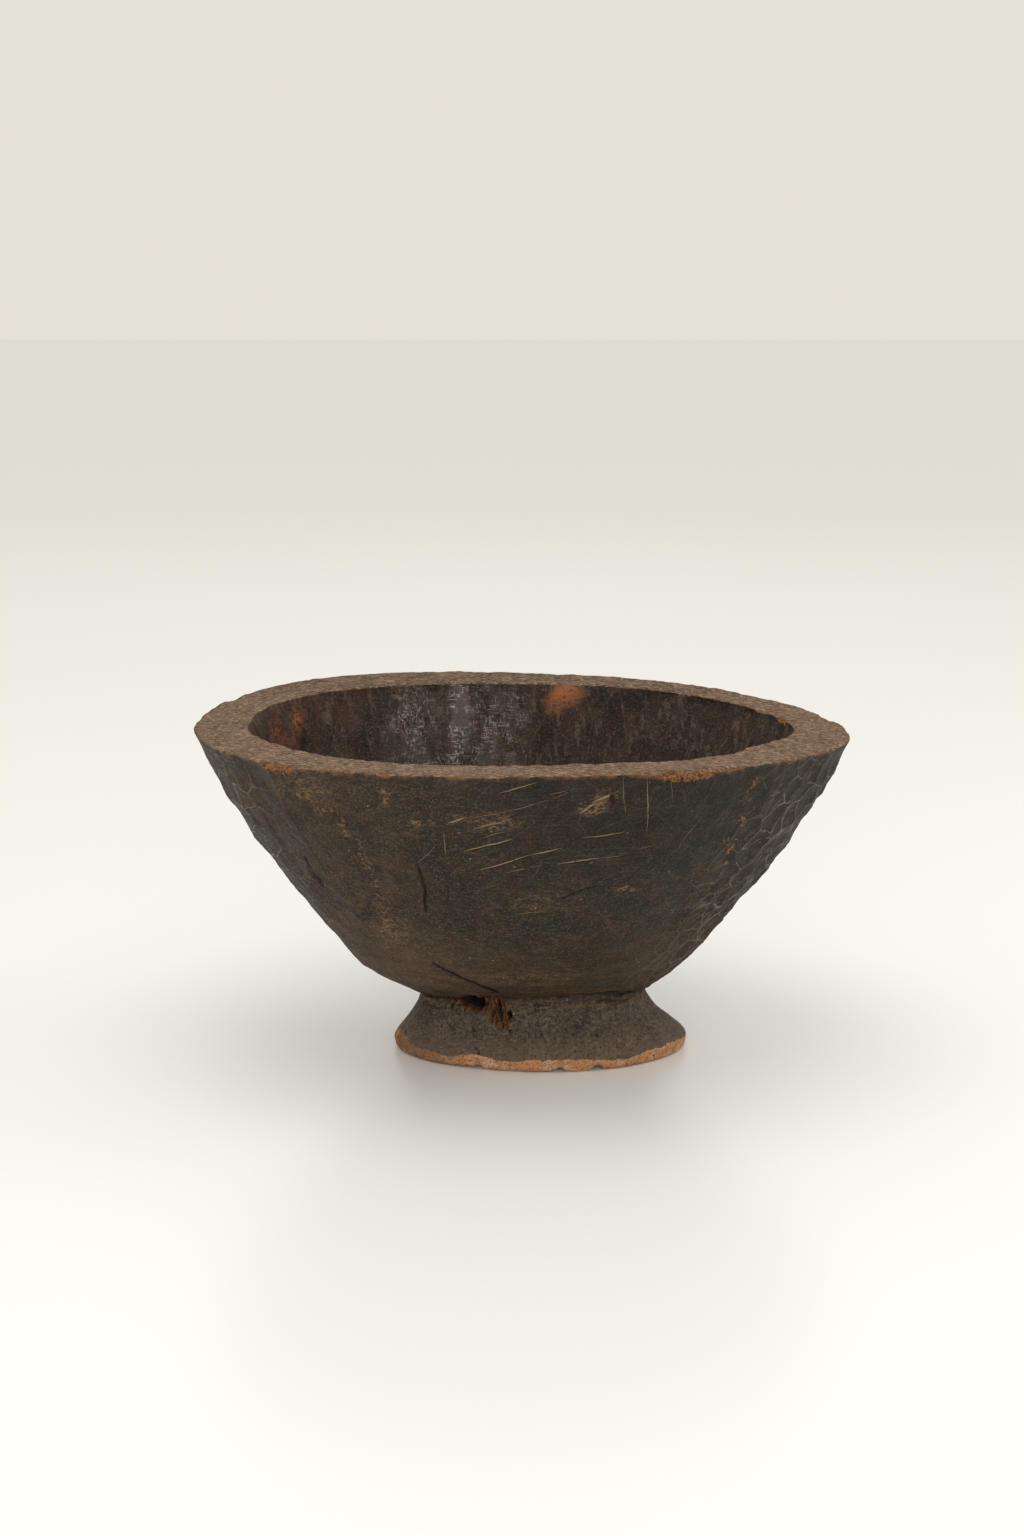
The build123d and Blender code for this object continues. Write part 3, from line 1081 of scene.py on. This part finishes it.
# %% Rim
across_of, depth_of, _ = add(tree, "ShaderNodeSeparateXYZ", {0: wood.own}).outputs
far_side = soft_step(tree, depth_of, 0.06, 0.12)
wood.coats([
    ((122, 97, 77), "end_grain"),
    ((78, 60, 47), "end_grain", far_side, 0.85),
    ((142, 115, 92), "end_grain", (16, 0.46, 0.6), 0.6),
    ((92, 71, 56), "end_grain", (7, 0.5, 0.62), 0.5),
    ((74, 55, 42), "end_grain", (1.9, 0.49, 0.6, ALONG, 3), 0.5),
    ((60, 44, 33), "end_grain", (1.2, 0.49, 0.6, EVEN, 2), 0.6),
    ((182, 154, 127), "end_grain", (1.3, 0.51, 0.61, ALONG, 2), 0.65),
    ((84, 56, 38), "step", (5, 0.3, 0.5), 0.8),
    ((140, 98, 66), "edge_line", (7, 0.4, 0.54)),
])

# %% Raw breaks
def frayed(name, size, amount, start, end):
    """A mask whose edge is frayed by blotches of a size, then made sharp again."""
    fray = maths(tree, "SUBTRACT", wood.blotch(size, 0.3, 0.7), 0.5)
    return soft_step(tree, maths(tree, "MULTIPLY_ADD", fray, amount, wood.mask(name)), start, end)


raw = frayed("raw_wood", 2.0, 0.45, 0.38, 0.6)
wood.coats([
    ((120, 80, 50), raw),
    ((158, 112, 72), raw, (2.4, 0.38, 0.62, (0.5, 0.5, 1))),
    ((54, 34, 21), raw, (1.1, 0.49, 0.6, EVEN, 2), 0.85),
    ((186, 138, 90), raw, wood.grain(1.6, 0.35, 0.4), 0.6),
    ((86, 58, 36), raw, "pocket", 0.5),
])

# %% The worn lip of the foot
lip_mask = frayed("lip", 2.6, 0.35, 0.4, 0.58)
left_of = soft_step(tree, across_of, -0.02, -0.065)
wood.coats([
    ((172, 124, 86), lip_mask),
    ((188, 154, 126), lip_mask, (9, 0.42, 0.6, (1, 1, 2))),
    ((180, 120, 74), lip_mask, (14, 0.46, 0.62), 0.7),
    ((100, 72, 52), lip_mask, left_of, (6, 0.3, 0.5), 0.75),
    ((84, 56, 36), lip_mask, (1.3, 0.52, 0.66, EVEN, 2), 0.7),
    ((40, 26, 17), lip_mask, wood.grain(5, 0.3, 0.16), 0.9),
    # painted shade along the neck crease
    ((24, 16, 11), "crease", (5, 0.3, 0.6, LEVEL), 0.85),
])

# %% [markdown]
# ## Scratches, splits and holes
#
# Knife strokes on the front wall tore the crust and left bright lines that lean the same way.
# Splits follow the fibres.

# %% Strokes on the front
# Start and end as X and height in mm, half width in mm, and strength.
SCRATCHES = [
    (-14, 187, 7, 194, 0.45, 0.9), (-31, 171, 15, 183, 0.32, 0.6), (15, 183, 26, 190, 0.32, 0.5),
    (-32, 151, -7, 159, 0.56, 1), (-25, 139, 3, 149, 0.52, 1), (3, 149, 20, 153, 0.45, 0.9),
    (-11, 137, 9, 142, 0.38, 0.6), (18, 143, 41, 146, 0.52, 0.9), (41, 146, 53, 147, 0.34, 0.6),
    (31, 159, 54, 162, 0.41, 0.8), (-3, 109, 11, 110, 0.38, 0.7), (13, 186, 22, 189, 0.34, 0.5),
    (-43, 163, -42, 149, 0.38, 0.6), (-58, 141, -46, 156, 0.3, 0.4), (52, 195, 54, 173, 0.38, 0.4),
    (65, 195, 66, 161, 0.45, 0.6), (-27, 165, -6, 172, 0.68, 0.5), (78, 193, 79, 178, 0.38, 0.3),
    (-22, 160, -10, 164, 0.38, 0.5), (-80, 172, -66, 192, 0.3, 0.3), (82, 146, 95, 165, 0.45, 0.3),
    (30, 174, 38, 181, 0.98, 0.7), (36, 181, 50, 187, 0.83, 0.8), (-40, 169, -31, 172, 0.83, 0.8),
    (-6, 118, 4, 121, 0.3, 0.4), (-20, 128, -12, 131, 0.3, 0.4), (60, 150, 70, 152, 0.3, 0.4),
]
SPLITS = [
    (-52, 70, -40, 62, 0.7, 0.9), (-40, 62, -28, 55, 0.9, 1), (-28, 55, -15, 46, 1, 1),
    (-57, 141, -54, 126, 0.6, 0.9), (-54, 126, -54, 108, 0.8, 1), (-45, 143, -41, 127, 0.5, 0.5),
    (-41, 127, -42, 113, 0.6, 0.6), (21, 119, 29, 124, 0.6, 1), (29, 124, 39, 127, 0.6, 0.9),
    (-122, 136, -119, 128, 0.7, 0.9), (-118, 124, -112, 117, 0.8, 1), (28, 88, 35, 88, 0.5, 0.7),
    (56, 85, 65, 87, 0.5, 0.7), (-20, 186, 12, 192, 0.4, 0.4), (-15, 45, 24, 45, 0.5, 0.6),
]


def strokes(lines):
    """The strongest bright edge and the strongest shadow of several strokes."""
    bright = dark = None
    for x, z, end_x, end_z, width, weight in lines:
        ends = {"Start": (x, 0.0, z), "End": (end_x, 0.0, end_z)}
        stroke = wood.group(SCRATCH, Place=wood.place, Width=width, **ends)
        one, two = wood.times(stroke["Bright"], weight), wood.times(stroke["Dark"], weight)
        bright = one if bright is None else wood.most(bright, one)
        dark = two if dark is None else wood.most(dark, two)
    return bright, dark


on_front = wood.times(soft_step(tree, depth_of, -0.01, -0.02), on_wall)
bright, shadow = strokes(SCRATCHES)
bright = wood.times(bright, on_front, (3.0, 0.3, 0.46))
shadow = wood.times(shadow, on_front)
split = wood.times(strokes(SPLITS)[0], on_front)
wood.coats([
    ((20, 16, 11), shadow, 0.85),
    ((148, 124, 96), bright),
    ((14, 10, 8), split, 0.9),
    # painted shade in the pits, checks and slots
    ((9, 7, 5), "hole_shade"),
])
plug(tree, wood.shader.inputs["Base Color"], wood.colour)
print("strokes", len(SCRATCHES), "splits", len(SPLITS))

# %% [markdown]
# ## Sheen and touch
#
# Smoked wood is faintly waxy and rubbed ridges more so, while end grain and raw wood are dry.
# Relief too fine for the mesh goes into one height in millimetres.

# %% Sheen and fine relief
rough = soft_step(tree, wood.blotch(12.0, 0.3, 0.7), 0.0, 1.0, 0.56, 0.7)
dry = wood.most("end_grain", wood.most(raw, lip_mask))
rough = maths(tree, "MULTIPLY_ADD", dry, 0.25, rough)
rough = maths(tree, "MULTIPLY_ADD", worn, -0.14, rough)
rough = add(tree, "ShaderNodeClamp", {0: rough, 1: 0.35, 2: 0.95}).outputs[0]
plug(tree, wood.shader.inputs["Roughness"], rough)
wood.shader.inputs["Specular IOR Level"].default_value = 0.2

height = wood.times((1.2, 0.25, 0.75, EVEN, 3.0), 0.3)
for reason, amount in [
    ((4.5, 0.2, 0.8), 0.45),
    ((2.2, 0.2, 0.8, (0.5, 0.5, 1.6)), 0.3),
    (wood.times(tear, "cut_strength"), 0.25),
    (ridge, 0.22),
    (wood.times("end_grain", (1.0, 0.3, 0.7, EVEN, 3.0)), 0.45),
    (wood.times(raw, (1.5, 0.3, 0.7, SHORT)), 0.8),
    (bright, 0.3),
    (shadow, -0.35),
    (split, -0.8),
]:
    height = maths(tree, "MULTIPLY_ADD", wood.reason(reason), amount, height)
bump = add(tree, "ShaderNodeBump", {"Height": height, "Strength": 1.0, "Distance": 0.001})
plug(tree, wood.shader.inputs["Normal"], bump.outputs["Normal"])
bowl_mesh.materials.append(wood.material)
print("nodes in the finish", len(tree.nodes))

# %% [markdown]
# ## Hand over
#
# The carved mesh takes the plain solid's place and rides on the same body.

# %% Hand over
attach(bowl, "root")
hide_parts("carved_bowl")

boxes = {"cad": [list(corner) for corner in cad_box], "visual": [list(corner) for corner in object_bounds()]}
for name, corners in boxes.items():
    print(name, "box in mm", [[round(value / MM, 1) for value in corner] for corner in corners])
